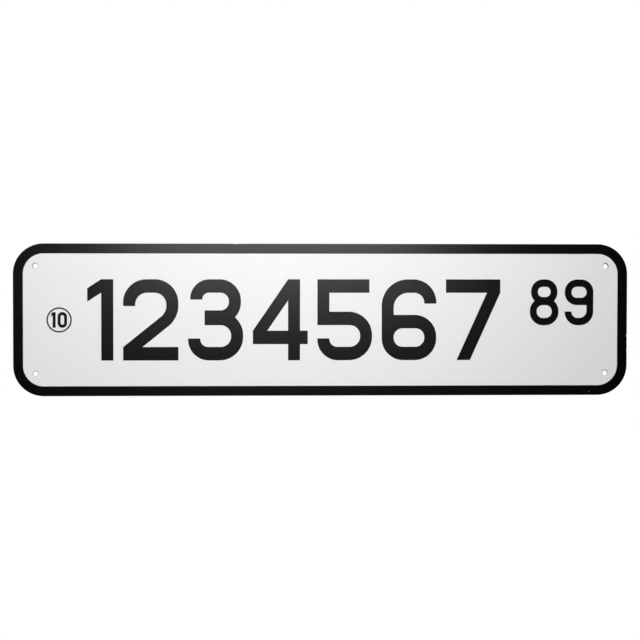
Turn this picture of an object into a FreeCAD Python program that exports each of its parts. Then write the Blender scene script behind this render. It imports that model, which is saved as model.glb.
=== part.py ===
# Street name sign: one flat blade of sheet metal, punched, printed in black on a white face.
# Millimetres. X runs along the blade, Z is up and the printed front faces -Y.
# The origin is the middle of the flat back, so the back lies in the XZ plane.
import FreeCAD, Part
import enum
import math
import operator
import os
import types
import Sketcher

# Driving dimensions: alias, millimetres, what it is
DIMENSIONS = [
    ("sign_length", 610, "length of the blade"),
    ("sign_height", 150.7, "height of the blade"),
    ("sheet_thickness", 1.6, "thickness of the sheet"),
    ("corner_radius", 30, "radius of the blade's corners"),
    ("edge_roll", 0.3, "rounding that shearing leaves on the front edge"),
    ("hole_diameter", 4.8, "diameter of the fixing holes"),
    ("hole_margin", 12.3, "hole centre from the inner edge of the border"),
    ("hole_roll", 0.75, "rounding that the punch leaves on a hole's front edge"),
    ("print_thickness", 0.1, "thickness of the black print"),
    ("border_width", 9.8, "width of the border, from the edge of the blade"),
    ("emblem_margin", 32.8, "left edge of the blade to the emblem"),
    ("emblem_diameter", 24.8, "outer diameter of the emblem's ring"),
    ("emblem_line", 1.4, "width of the emblem's ring"),
    ("emblem_gap", 15.2, "emblem to the first large digit"),
    ("emblem_digit_height", 15.4, "height of the digits in the emblem"),
    ("emblem_digit_width", 9.2, "width of a round digit in the emblem"),
    ("emblem_digit_stroke", 2.9, "width of every stroke in the emblem"),
    ("emblem_digit_gap", 2, "gap between the digits in the emblem"),
    ("legend_height", 80.3, "height of the large digits"),
    ("legend_bar", 13.3, "level strokes of the large digits"),
    ("legend_stem", 11.9, "upright strokes of the large digits"),
    ("legend_gap", 9.6, "gap between the large digits"),
    ("suffix_space", 29.8, "last large digit to the first small one"),
    ("suffix_height", 45.7, "height of the small digits"),
    ("suffix_bar", 7.3, "level strokes of the small digits"),
    ("suffix_stem", 6.8, "upright strokes of the small digits"),
    ("suffix_width", 28.7, "width of a small digit"),
    ("suffix_gap", 6.3, "gap between the small digits"),
    ("suffix_margin", 34.1, "last small digit to the right edge of the blade"),
]

# What stands in each place, in plain numbers
LEGEND_DIGITS = "1234567"
SUFFIX_DIGITS = "89"
EMBLEM_DIGITS = "10"

# Proportions of the digits, as shares of a digit's height
LOWER_BOWL_SHARE = 0.60
SIX_BOWL_SHARE = 0.56
LOWER_HOOK_SHARE = 0.27
UPPER_HOOK_SHARE = 0.25
SIX_HOOK_SHARE = 0.30
TWO_HOOK_SHARE = 0.33
TWO_ELBOW_SHARE = 0.52
FOUR_BAR_SHARE = 0.20
FLAG_DROP_SHARE = 0.11

# Proportions of the digits, as shares of a digit's width
ONE_WIDTH_SHARE = 0.47
UPPER_INSET_SHARE = 0.04
MIDDLE_BAR_START_SHARE = 0.30
FIVE_SHORT_SHARE = 0.05
FOUR_TAIL_SHARE = 0.14
SEVEN_FOOT_SHARE = 0.20

# A bowl's corners take nearly half of its shorter side, and a hook's take nearly all of its drop
BOWL_ROUND_SHARE = 0.48
HOOK_ROUND_SHARE = 0.95
# The two corners on the side of a 2 share its length
TWO_ROUND_UPPER_SHARE = 0.60
TWO_ROUND_ELBOW_SHARE = 0.62
# Slanted strokes are wider across than upright ones, by these factors, so that they look as heavy
TWO_SLANT_FACTOR = 1.6
FOUR_SLANT_FACTOR = 1.2
SEVEN_SLANT_FACTOR = 1.12
# The two bowls of a 3 and an 8 overlap by this share of the level stroke
BOWL_OVERLAP_SHARE = 0.9


class Size:
    """A number together with the expression that gives it.

    A sketch is drawn at the number and then bound to the expression."""

    def __init__(self, value, text):
        self.value = float(value)
        self.text = text

    def __add__(self, other):
        return join_sizes(self, operator.add, "+", other)

    def __radd__(self, other):
        return join_sizes(other, operator.add, "+", self)

    def __sub__(self, other):
        return join_sizes(self, operator.sub, "-", other)

    def __rsub__(self, other):
        return join_sizes(other, operator.sub, "-", self)

    def __mul__(self, other):
        return join_sizes(self, operator.mul, "*", other)

    def __rmul__(self, other):
        return join_sizes(other, operator.mul, "*", self)

    def __truediv__(self, other):
        return join_sizes(self, operator.truediv, "/", other)


def as_size(item):
    """A plain number as a size, and a size as it is."""
    if isinstance(item, Size):
        return item
    return Size(item, repr(item))


def join_sizes(left, work, sign, right):
    left = as_size(left)
    right = as_size(right)
    text = "(%s %s %s)" % (left.text, sign, right.text)
    return Size(work(left.value, right.value), text)


def smaller(left, right):
    left = as_size(left)
    right = as_size(right)
    return Size(min(left.value, right.value), "min(%s; %s)" % (left.text, right.text))


document = FreeCAD.newDocument("street_name_sign")
spreadsheet = document.addObject("Spreadsheet::Sheet", "Sizes")
size = types.SimpleNamespace()
for row, (alias, number, note) in enumerate(DIMENSIONS, start=1):
    spreadsheet.set("A%d" % row, note)
    spreadsheet.set("B%d" % row, str(number))
    spreadsheet.setAlias("B%d" % row, alias)
    setattr(size, alias, Size(number, "Sizes." + alias))
document.recompute()

layout = document.addObject("App::VarSet", "Layout")


def derived(name, amount):
    """Keep a size that follows from others under a name, for the sketches to use."""
    layout.addProperty("App::PropertyFloat", name, "Layout")
    layout.setExpression(name, amount.text)
    return Size(amount.value, "Layout." + name)


class At(enum.IntEnum):
    """How a constraint numbers the points of a shape, and the sketch's own axes."""

    START = 1
    END = 2
    CENTRE = 3
    LEVEL_AXIS = -1
    UPRIGHT_AXIS = -2


class Drawing:
    """A sketch on the XZ plane of its body, with every size bound."""

    def __init__(self, body, name):
        self.sketch = body.newObject("Sketcher::SketchObject", name)
        planes = [item for item in body.Origin.OriginFeatures if item.Role == "XZ_Plane"]
        self.sketch.AttachmentSupport = [(planes[0], "")]
        self.sketch.MapMode = "FlatFace"
        self.constraints = []
        self.bindings = []

    def hold(self, kind, *where):
        self.constraints.append(Sketcher.Constraint(kind, *where))

    def measure(self, kind, *where, amount):
        """Hold a distance or a radius at a size."""
        self.bindings.append((len(self.constraints), amount.text))
        self.constraints.append(Sketcher.Constraint(kind, *where, amount.value))

    def place(self, shape, point, across, up):
        """Hold a point of a shape at its distances from the sketch's origin."""
        if isinstance(across, Size):
            self.measure("DistanceX", At.LEVEL_AXIS, At.START, shape, point, amount=across)
        else:
            self.hold("PointOnObject", shape, point, At.UPRIGHT_AXIS)
        if isinstance(up, Size):
            self.measure("DistanceY", At.LEVEL_AXIS, At.START, shape, point, amount=up)
        else:
            self.hold("PointOnObject", shape, point, At.LEVEL_AXIS)

    def circle(self, across, up, diameter):
        centre = FreeCAD.Vector(as_size(across).value, as_size(up).value, 0)
        upward = FreeCAD.Vector(0, 0, 1)
        shape = self.sketch.addGeometry(Part.Circle(centre, upward, diameter.value / 2), False)
        self.place(shape, At.CENTRE, across, up)
        self.measure("Diameter", shape, amount=diameter)

    def loop(self, corners):
        """Draw a closed outline through its corners.

        A corner is (across, up), or (across, up, radius) where it is rounded. A plain 0 lies on
        an axis of the sketch."""
        points = [FreeCAD.Vector(as_size(corner[0]).value, as_size(corner[1]).value, 0)
                  for corner in corners]
        starts = []
        ends = []
        arcs = []
        for index, corner in enumerate(corners):
            arrive = (points[index] - points[index - 1]).normalize()
            leave = (points[(index + 1) % len(points)] - points[index]).normalize()
            if len(corner) == 2:
                starts.append(points[index])
                ends.append(points[index])
                arcs.append(None)
                continue
            radius = corner[2].value
            turn = math.atan2(arrive.cross(leave).z, arrive.dot(leave))
            cut = radius * math.tan(abs(turn) / 2)
            first = points[index] - arrive * cut
            last = points[index] + leave * cut
            side = math.copysign(1, turn)
            centre = first + FreeCAD.Vector(-arrive.y, arrive.x, 0) * radius * side
            angles = [math.atan2(end.y - centre.y, end.x - centre.x) for end in (first, last)]
            if side < 0:
                angles.reverse()
            round_edge = Part.Circle(centre, FreeCAD.Vector(0, 0, 1), radius)
            arcs.append((Part.ArcOfCircle(round_edge, angles[0], angles[1]), side))
            starts.append(last)
            ends.append(first)
        lines = []
        for index, start in enumerate(starts):
            end = ends[(index + 1) % len(ends)]
            lines.append(self.sketch.addGeometry(Part.LineSegment(start, end), False))
        for index, corner in enumerate(corners):
            before = lines[index - 1]
            after = lines[index]
            if arcs[index] is None:
                self.hold("Coincident", before, At.END, after, At.START)
                self.place(after, At.START, corner[0], corner[1])
                continue
            curve, side = arcs[index]
            arc = self.sketch.addGeometry(curve, False)
            peak = self.sketch.addGeometry(Part.Point(points[index]), True)
            first_end, last_end = (At.START, At.END) if side > 0 else (At.END, At.START)
            self.place(peak, At.START, corner[0], corner[1])
            self.hold("PointOnObject", peak, At.START, before)
            self.hold("PointOnObject", peak, At.START, after)
            self.hold("Tangent", before, At.END, arc, first_end)
            self.hold("Tangent", arc, last_end, after, At.START)
            self.measure("Radius", arc, amount=corner[2])

    def finish(self):
        """Add the constraints, bind them and return the sketch."""
        self.sketch.addConstraint(self.constraints)
        for index, text in self.bindings:
            self.sketch.setExpression("Constraints[%d]" % index, text)
        return self.sketch


def start_body(name, across, forward, up):
    """A body whose corner lies at a place on the blade, measured from its lower left corner."""
    body = document.addObject("PartDesign::Body", name)
    body.setExpression("Placement.Base.x", (across - size.sign_length / 2).text)
    body.setExpression("Placement.Base.y", (0 - as_size(forward)).text)
    body.setExpression("Placement.Base.z", (up - size.sign_height / 2).text)
    return body


def pad_loops(body, name, loops, thickness):
    """Pad a sketch of closed outlines towards the front."""
    drawing = Drawing(body, name + "_outline")
    for corners in loops:
        drawing.loop(corners)
    return pad_sketch(body, name, drawing.finish(), thickness)


def pad_sketch(body, name, sketch, thickness):
    pad = body.newObject("PartDesign::Pad", name + "_pad")
    pad.Profile = sketch
    pad.setExpression("Length", thickness.text)
    return pad


def rectangle(left, bottom, right, top, radius):
    """The corners of a rectangle with one radius all round."""
    return [(left, bottom, radius), (right, bottom, radius), (right, top, radius), (left, top, radius)]


def bowl_radius(width, height):
    return BOWL_ROUND_SHARE * smaller(width, height)


# Each digit is drawn from its lower left corner, and gives one list of outlines for each pad

def draw_zero(width, height, bar, stem):
    outer = rectangle(0, 0, width, height, bowl_radius(width, height))
    counter = rectangle(stem, bar, width - stem, height - bar,
                        bowl_radius(width - 2 * stem, height - 2 * bar))
    return [[outer, counter]]


def draw_one(width, height, bar, stem):
    left = width - stem
    drop = FLAG_DROP_SHARE * height
    return [[[(left, 0), (width, 0), (width, height), (left, height), (0, height - drop),
              (0, height - drop - bar), (left, height - bar)]]]


def draw_two(width, height, bar, stem):
    hook = height - TWO_HOOK_SHARE * height
    foot = TWO_SLANT_FACTOR * stem
    elbow = TWO_ELBOW_SHARE * height
    slope = (elbow - bar) / (width - foot)
    inner_elbow = bar + slope * (width - stem)
    side = height - elbow
    inner_side = height - bar - inner_elbow
    outer = smaller(bowl_radius(width, height), TWO_ROUND_UPPER_SHARE * side)
    inner = smaller(bowl_radius(width - 2 * stem, height), TWO_ROUND_UPPER_SHARE * inner_side)
    return [[[(0, hook), (stem, hook), (stem, height - bar, inner), (width - stem, height - bar, inner),
              (width - stem, inner_elbow, TWO_ROUND_ELBOW_SHARE * inner_side), (0, bar), (0, 0), (width, 0),
              (width, bar), (foot, bar), (width, elbow, TWO_ROUND_ELBOW_SHARE * side),
              (width, height, outer), (0, height, outer)]]]


def draw_three(width, height, bar, stem):
    middle = MIDDLE_BAR_START_SHARE * width
    lower_top = LOWER_BOWL_SHARE * height
    hook = LOWER_HOOK_SHARE * height
    outer = bowl_radius(width, lower_top)
    inner = bowl_radius(width - 2 * stem, lower_top - 2 * bar)
    lower = [(0, hook), (0, 0, smaller(outer, HOOK_ROUND_SHARE * hook)), (width, 0, outer),
             (width, lower_top, outer), (middle, lower_top), (middle, lower_top - bar),
             (width - stem, lower_top - bar, inner), (width - stem, bar, inner),
             (stem, bar, smaller(inner, HOOK_ROUND_SHARE * (hook - bar))), (stem, hook)]
    upper_foot = lower_top - BOWL_OVERLAP_SHARE * bar
    left = UPPER_INSET_SHARE * width
    right = width - left
    drop = UPPER_HOOK_SHARE * height
    hook = height - drop
    outer = bowl_radius(right - left, height - upper_foot)
    inner = bowl_radius(right - left - 2 * stem, height - upper_foot - 2 * bar)
    upper = [(left, hook), (left + stem, hook),
             (left + stem, height - bar, smaller(inner, HOOK_ROUND_SHARE * (drop - bar))),
             (right - stem, height - bar, inner), (right - stem, upper_foot + bar, inner),
             (middle, upper_foot + bar), (middle, upper_foot), (right, upper_foot, outer),
             (right, height, outer), (left, height, smaller(outer, HOOK_ROUND_SHARE * drop))]
    return [[lower], [upper]]


def draw_four(width, height, bar, stem):
    left = width - stem - FOUR_TAIL_SHARE * width
    right = left + stem
    bottom = FOUR_BAR_SHARE * height
    top = bottom + bar
    slant = FOUR_SLANT_FACTOR * stem
    slope = (height - top) / left
    outer = [(left, 0), (right, 0), (right, bottom), (width, bottom), (width, top), (right, top),
             (right, height), (left, height), (0, top), (0, bottom), (left, bottom)]
    counter = [(slant, top), (left, top), (left, top + slope * (left - slant))]
    return [[outer, counter]]


def draw_five(width, height, bar, stem):
    top = LOWER_BOWL_SHARE * height
    hook = LOWER_HOOK_SHARE * height
    tip = width - FIVE_SHORT_SHARE * width
    outer = bowl_radius(width, top)
    inner = bowl_radius(width - 2 * stem, top - 2 * bar)
    return [[[(0, top - bar), (width - stem, top - bar, inner), (width - stem, bar, inner),
              (stem, bar, smaller(inner, HOOK_ROUND_SHARE * (hook - bar))), (stem, hook), (0, hook),
              (0, 0, smaller(outer, HOOK_ROUND_SHARE * hook)), (width, 0, outer), (width, top, outer),
              (stem, top), (stem, height - bar), (tip, height - bar), (tip, height), (0, height)]]]


def draw_six(width, height, bar, stem):
    top = SIX_BOWL_SHARE * height
    drop = SIX_HOOK_SHARE * height
    hook = height - drop
    bowl = bowl_radius(width, top)
    crown = bowl_radius(width, height)
    inner = smaller(bowl_radius(width - 2 * stem, height), HOOK_ROUND_SHARE * (height - bar - top))
    outer = [(0, 0, bowl), (width, 0, bowl), (width, top, bowl), (stem, top),
             (stem, height - bar, inner),
             (width - stem, height - bar, smaller(inner, HOOK_ROUND_SHARE * (drop - bar))),
             (width - stem, hook), (width, hook), (width, height, smaller(crown, HOOK_ROUND_SHARE * drop)),
             (0, height, crown)]
    counter = rectangle(stem, bar, width - stem, top - bar,
                        bowl_radius(width - 2 * stem, top - 2 * bar))
    return [[outer, counter]]


def draw_seven(width, height, bar, stem):
    foot = SEVEN_FOOT_SHARE * width
    heel = foot + SEVEN_SLANT_FACTOR * stem
    lean = width - heel
    return [[[(foot, 0), (heel, 0), (width, height - bar), (width, height), (0, height),
              (0, height - bar), (foot + lean, height - bar)]]]


def draw_eight(width, height, bar, stem):
    lower_top = LOWER_BOWL_SHARE * height
    upper_foot = lower_top - BOWL_OVERLAP_SHARE * bar
    left = UPPER_INSET_SHARE * width
    right = width - left
    lower = rectangle(0, 0, width, lower_top, bowl_radius(width, lower_top))
    lower_counter = rectangle(stem, bar, width - stem, lower_top - bar,
                              bowl_radius(width - 2 * stem, lower_top - 2 * bar))
    upper = rectangle(left, upper_foot, right, height,
                      bowl_radius(right - left, height - upper_foot))
    upper_counter = rectangle(left + stem, upper_foot + bar, right - stem, height - bar,
                              bowl_radius(right - left - 2 * stem, height - upper_foot - 2 * bar))
    return [[lower, lower_counter], [upper, upper_counter]]


def draw_nine(width, height, bar, stem):
    """A 6 turned half a turn."""
    turned = []
    for loops in draw_six(width, height, bar, stem):
        turned.append([[(width - corner[0], height - corner[1], *corner[2:]) for corner in corners]
                       for corners in loops])
    return turned


DRAW_DIGIT = {"0": draw_zero, "1": draw_one, "2": draw_two, "3": draw_three, "4": draw_four,
              "5": draw_five, "6": draw_six, "7": draw_seven, "8": draw_eight, "9": draw_nine}


def digit_width(digit, width):
    """Every digit has the same width, apart from the narrow 1."""
    if digit == "1":
        return ONE_WIDTH_SHARE * width
    return width


def row_length(digits, width, gap):
    """How long a row of digits is, with its gaps."""
    return sum(digit_width(digit, width) for digit in digits) + (len(digits) - 1) * gap


def print_digits(name, digits, start, bottom, height, width, bar, stem, gap):
    """One solid for each digit, in a row from its left end, on the front of the sheet."""
    bodies = []
    left = start
    for digit in digits:
        this_width = digit_width(digit, width)
        title = "%s_%s" % (name, digit)
        body = start_body(title, left, size.sheet_thickness, bottom)
        pads = DRAW_DIGIT[digit](this_width, height, bar, stem)
        for index, loops in enumerate(pads, start=1):
            pad_loops(body, "%s_%d" % (title, index), loops, size.print_thickness)
        bodies.append(body)
        left = left + this_width + gap
    return bodies


def make_blank():
    """The sheet: sheared to a rounded rectangle and punched from the front."""
    blank = start_body("sign_blank", 0, 0, 0)
    outline = rectangle(0, 0, size.sign_length, size.sign_height, size.corner_radius)
    plate = pad_loops(blank, "plate", [outline], size.sheet_thickness)
    holes = Drawing(blank, "hole_circles")
    inset = size.border_width + size.hole_margin
    for across in (inset, size.sign_length - inset):
        for up in (inset, size.sign_height - inset):
            holes.circle(across, up, size.hole_diameter)
    punched = blank.newObject("PartDesign::Pocket", "punched_holes")
    punched.Profile = holes.finish()
    punched.Type = "ThroughAll"
    punched.Reversed = True
    document.recompute()
    if punched.Shape.Volume >= plate.Shape.Volume:
        raise RuntimeError("the punch cut nothing")
    round_front_edges(blank, punched, "rolled_edge", size.edge_roll, holes_only=False)
    round_front_edges(blank, blank.Tip, "rolled_holes", size.hole_roll, holes_only=True)
    return blank


def round_front_edges(body, feature, name, radius, holes_only):
    """Round the front edge of the outline, or that of the holes."""
    closeness = 1e-6
    chosen = []
    for index, edge in enumerate(feature.Shape.Edges, start=1):
        at_front = abs(edge.BoundBox.YMax - feature.Shape.BoundBox.YMin) < closeness
        is_hole = edge.isClosed()
        if at_front and is_hole == holes_only:
            chosen.append("Edge%d" % index)
    fillet = body.newObject("PartDesign::Fillet", name)
    fillet.Base = (feature, chosen)
    fillet.setExpression("Radius", radius.text)
    document.recompute()


def make_border():
    """The black ring: it starts where the sheet's front edge begins to roll over."""
    border = start_body("border_print", 0, size.sheet_thickness, 0)
    outer = rectangle(size.edge_roll, size.edge_roll, size.sign_length - size.edge_roll,
                      size.sign_height - size.edge_roll, size.corner_radius - size.edge_roll)
    inner = rectangle(size.border_width, size.border_width, size.sign_length - size.border_width,
                      size.sign_height - size.border_width, size.corner_radius - size.border_width)
    pad_loops(border, "border", [outer, inner], size.print_thickness)
    return border


def make_legend():
    """The large digits, as wide as the room between the emblem and the small digits allows."""
    start = derived("legend_start", size.emblem_margin + size.emblem_diameter + size.emblem_gap)
    suffix_length = row_length(SUFFIX_DIGITS, size.suffix_width, size.suffix_gap)
    suffix_start = derived("suffix_start", size.sign_length - size.suffix_margin - suffix_length)
    gaps = row_length(LEGEND_DIGITS, 0, size.legend_gap)
    widths = row_length(LEGEND_DIGITS, 1, 0)
    width = derived("legend_width", (suffix_start - size.suffix_space - start - gaps) / widths)
    bottom = derived("legend_bottom", (size.sign_height - size.legend_height) / 2)
    large = print_digits("legend", LEGEND_DIGITS, start, bottom, size.legend_height, width,
                         size.legend_bar, size.legend_stem, size.legend_gap)
    raised = derived("suffix_bottom", bottom + size.legend_height - size.suffix_height)
    small = print_digits("suffix", SUFFIX_DIGITS, suffix_start, raised, size.suffix_height,
                         size.suffix_width, size.suffix_bar, size.suffix_stem, size.suffix_gap)
    return gather("legend_print", large + small)


def make_emblem():
    """A plain ring with plain digits in its middle."""
    middle = derived("emblem_middle", size.emblem_margin + size.emblem_diameter / 2)
    ring = start_body("emblem_ring", middle, size.sheet_thickness, size.sign_height / 2)
    circles = Drawing(ring, "emblem_circles")
    for diameter in (size.emblem_diameter, size.emblem_diameter - 2 * size.emblem_line):
        circles.circle(0, 0, diameter)
    pad_sketch(ring, "emblem_ring", circles.finish(), size.print_thickness)
    length = row_length(EMBLEM_DIGITS, size.emblem_digit_width, size.emblem_digit_gap)
    digits = print_digits("emblem", EMBLEM_DIGITS, middle - length / 2,
                          (size.sign_height - size.emblem_digit_height) / 2,
                          size.emblem_digit_height, size.emblem_digit_width,
                          size.emblem_digit_stroke, size.emblem_digit_stroke,
                          size.emblem_digit_gap)
    return gather("emblem_print", [ring] + digits)


def gather(name, bodies):
    """One sub-part of several patches of print."""
    compound = document.addObject("Part::Compound", name)
    compound.Links = bodies
    return compound


sub_parts = [make_blank(), make_border(), make_legend(), make_emblem()]
document.recompute()

for item in document.Objects:
    if "Invalid" in item.State or "Error" in item.State:
        raise RuntimeError("%s failed: %s" % (item.Label, item.State))
os.makedirs("parts", exist_ok=True)
for part in sub_parts:
    if part.Shape.isNull() or not part.Shape.isValid():
        raise RuntimeError("%s has no valid shape" % part.Label)
for part in sub_parts:
    part.Shape.exportStep("parts/%s.step" % part.Label)
    print("%-14s %2d solids %10.1f mm3" % (part.Label, len(part.Shape.Solids), part.Shape.Volume))
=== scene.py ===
"""Street name sign: one punched sheet with a white enamel front, printed in black.

Metres. X runs along the blade, Z is up and the printed front faces -Y.
The flat back lies at Y = 0."""

import math

import bmesh
import bpy
from bpy.props import FloatProperty, FloatVectorProperty, PointerProperty, StringProperty
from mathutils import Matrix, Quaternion, Vector


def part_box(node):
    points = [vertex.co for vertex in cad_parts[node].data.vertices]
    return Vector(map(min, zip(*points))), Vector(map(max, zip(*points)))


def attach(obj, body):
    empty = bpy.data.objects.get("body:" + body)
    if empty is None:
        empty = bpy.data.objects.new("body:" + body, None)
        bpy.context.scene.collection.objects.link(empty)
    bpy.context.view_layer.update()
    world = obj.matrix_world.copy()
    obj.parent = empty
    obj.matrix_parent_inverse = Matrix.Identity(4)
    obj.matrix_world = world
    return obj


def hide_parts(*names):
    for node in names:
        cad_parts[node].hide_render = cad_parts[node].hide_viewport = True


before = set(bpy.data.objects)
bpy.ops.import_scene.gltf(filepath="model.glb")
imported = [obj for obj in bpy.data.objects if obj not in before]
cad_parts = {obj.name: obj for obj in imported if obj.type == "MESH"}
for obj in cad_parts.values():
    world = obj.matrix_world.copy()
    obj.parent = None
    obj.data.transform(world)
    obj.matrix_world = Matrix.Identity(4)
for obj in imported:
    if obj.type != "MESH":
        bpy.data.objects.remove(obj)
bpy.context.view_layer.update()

bl_info = {
    "name": "Street name sign",
    "version": (1, 0, 0),
    "blender": (4, 5, 0),
    "location": "3D View > Sidebar > Street sign",
    "description": "Models and finishes a flat street name sign around its CAD frame",
    "category": "Object",
}

# The construction that every piece is laid on
SHEET_LOW, SHEET_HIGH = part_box("sign_blank")
BORDER_LOW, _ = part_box("border_print")
LEGEND_LOW, LEGEND_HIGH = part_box("legend_print")
EMBLEM_LOW, EMBLEM_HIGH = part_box("emblem_print")
BACK = SHEET_HIGH.y
FRONT = SHEET_LOW.y
PRINT_FRONT = BORDER_LOW.y

# How finely curves are cut. A quarter turn has ARC_STEPS, and no corner has under FEWEST_STEPS
ARC_STEPS = 24
FEWEST_STEPS = 3
HOLE_STEPS = 64
HOLE_ROLL_STEPS = 8
EDGE_ROLL_STEPS = 6
BACK_BREAK_STEPS = 2
SHOULDER_STEPS = 3
SMOOTH_ANGLE = math.radians(32)
# What the bevel tool calls a round profile
ROUND = 0.5
# An outline starts as a ring whose radius is this share of the outline's size
START_RING_SHARE = 0.25
# Two points closer than this are one
CLOSE = 1e-6
# How squarely a face looks to the front or the back, from 0 for a wall to 1 for a flat face.
# It is flat past FLAT and level past LEVEL, and it rolls over under ROLLED, lines a hole under
# PUNCHED and is a wall under WALL
FLAT = 0.99
LEVEL = 0.5
ROLLED = 0.995
PUNCHED = 0.75
WALL = 0.3
# What is nearer than this to the centre of a hole belongs to it, in hole diameters
HOLE_REACH = 1.5

# Proportions of the digits, as shares of a digit's height
LOWER_BOWL_SHARE = 0.60
SIX_BOWL_SHARE = 0.56
LOWER_HOOK_SHARE = 0.27
UPPER_HOOK_SHARE = 0.25
SIX_HOOK_SHARE = 0.30
TWO_HOOK_SHARE = 0.33
TWO_ELBOW_SHARE = 0.52
FOUR_BAR_SHARE = 0.20
FLAG_DROP_SHARE = 0.11
# Proportions of the digits, as shares of a digit's width
ONE_WIDTH_SHARE = 0.47
UPPER_INSET_SHARE = 0.04
MIDDLE_BAR_START_SHARE = 0.30
FIVE_SHORT_SHARE = 0.05
FOUR_TAIL_SHARE = 0.14
SEVEN_FOOT_SHARE = 0.20
# Corners as shares of the side or the drop that they round
BOWL_ROUND_SHARE = 0.48
HOOK_ROUND_SHARE = 0.95
TWO_ROUND_UPPER_SHARE = 0.60
TWO_ROUND_ELBOW_SHARE = 0.62
# Slanted strokes are wider across than upright ones, so that they look as heavy
TWO_SLANT_FACTOR = 1.6
FOUR_SLANT_FACTOR = 1.2
SEVEN_SLANT_FACTOR = 1.12
# The two bowls of a 3 and an 8 overlap by this share of the level stroke
BOWL_OVERLAP_SHARE = 0.9

# Dents that handling left in the edges: place along the edge, half width and depth
TOP_EDGE_NICKS = ((-0.0873, 0.0008, 0.00050), (-0.0845, 0.0009, 0.00055),
                  (-0.0818, 0.0006, 0.00045), (-0.0767, 0.0006, 0.00028))
RIGHT_EDGE_NICKS = ((-0.0160, 0.0012, 0.00050), (-0.0225, 0.0018, 0.00022),
                    (-0.0300, 0.0024, 0.00020))
# Where a dent is cut, in half widths from its middle, and what makes one side of it deeper
NICK_CUTS = (-1.0, -0.6, -0.2, 0.3, 0.7, 1.0)
NICK_NEAR_DEPTH = 1.15
NICK_FAR_DEPTH = 0.9
# How wide a band along the edge a dent moves, on the sheet and on the border, in edge rolls
SHEET_NICK_BAND = 1.2
BORDER_NICK_BAND = 2.5
# Small chips in the black border: middle, half width, half height and turn
BORDER_CHIPS = ((0.2668, -0.0720, 0.00044, 0.00030, 0.5),
                (0.2676, -0.0738, 0.00024, 0.00018, 2.1))
CHIP_SIDES = 7
# What cuts a chip is as long as this many thicknesses of the print
CUTTER_LENGTH = 4
# The enamel has yellowed a little about this place. The tint is even over the core, which is a
# share of the reach, and fades out from there to the reach
YELLOWED_PLACE = (-0.262, 0, -0.068)
YELLOWED_REACH = 0.052
YELLOWED_CORE_SHARE = 0.2
# Painted shade on the rim of each hole: the side it lies on, in degrees from +X to +Z, and how
# much.
# The order is low left, high left, low right and high right
HOLE_SHADE = ((95, 0.25), (160, 0.55), (80, 0.60), (62, 1.0))
# Where the painted shade starts to fade and where it ends, in hole rolls outside the bore
HOLE_SHADE_FADES = 0.7
HOLE_SHADE_ENDS = 1.9
# Where the bright cut of the sheared edge ends and where the grey break is full, as shares of the
# thickness from the back
CUT_ENDS_SHARE = 0.66
BREAK_FULL_SHARE = 0.52

# Soft lamps, turned to the middle of the sign: place, width, height and radiance
LAMPS = {
    "key_lamp": ((-0.0224, -0.4664, 0.2683), 0.388, 0.516, 3.767),
    "fill_lamp": ((-0.7, -0.9, 0.6253), 0.5, 0.5, 4.243),
    "rear_lamp": ((0.9, 1.3, 1.0), 0.9, 0.6, 3.0),
}
# How much of the room's light a glossy face shows
GLOSS_ROOM_SHARE = 0.1
# The Y of a direction where the dark middle behind the camera starts to lift and where it has
# lifted, and where the white behind the sign starts and where it is full
DARK_MIDDLE = (-0.92, -0.35)
WHITE_BACKGROUND = (-0.10, 0.35)
# The floor: its grey, what a glossy front shows of it, and how bright it looks of itself
FLOOR_GREY = (0.80, 0.80, 0.80)
FLOOR_IN_GLOSS = (0.02, 0.02, 0.02)
FLOOR_GLOW = 0.82
# Where the floor starts to fade to white, and where it is white, as a share of its side
FLOOR_FADES = 1.5
FLOOR_WHITE_SHARE = 0.48
# Between these the floor passes from in front of the sign to behind it
FLOOR_BEHIND = (-0.5, 1.5)
# Where the camera stands, seen from the middle of what it takes in
CAMERA_AZIMUTH = math.radians(-3.07)
CAMERA_ELEVATION = math.radians(2.0)
CAMERA_ROLL = math.radians(0.078)
CAMERA_AIM = (-0.00233, 0, -0.00026)
# The nearest and the furthest that it sees, and the width of its sensor in millimetres
CAMERA_CLIP = (0.05, 100)
SENSOR_WIDTH = 36

BLACK = (0.0, 0.0, 0.0)
WHITE = (1.0, 1.0, 1.0)


def length_setting(name, description, default):
    return FloatProperty(name=name, description=description, default=default, min=0.0,
                         precision=5, subtype="DISTANCE", unit="LENGTH")


def colour_setting(name, description, default):
    return FloatVectorProperty(name=name, description=description, default=default, min=0.0,
                               max=1.0, size=3, subtype="COLOR")


def share_setting(name, description, default):
    return FloatProperty(name=name, description=description, default=default, min=0.0, max=1.0,
                         subtype="FACTOR")


class SheetSettings(bpy.types.PropertyGroup):
    """Sizes of the punched sheet"""

    corner_radius: length_setting("Corner radius", "Radius of the blade's corners", 0.030)
    edge_roll: length_setting("Edge roll", "Rounding that shearing leaves on the front edge",
                              BORDER_LOW.x - SHEET_LOW.x)
    back_break: length_setting("Back break", "Broken edge all round the back", 0.00006)
    hole_diameter: length_setting("Hole diameter", "Diameter of the fixing holes", 0.0048)
    hole_inset: length_setting("Hole inset", "Hole centre from the two nearest edges", 0.0221)
    hole_roll: length_setting("Hole roll", "Rounding that the punch leaves on the front", 0.00075)
    rim_ring: length_setting("Rim ring", "Ring of faces beside every rim", 0.0015)


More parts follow.
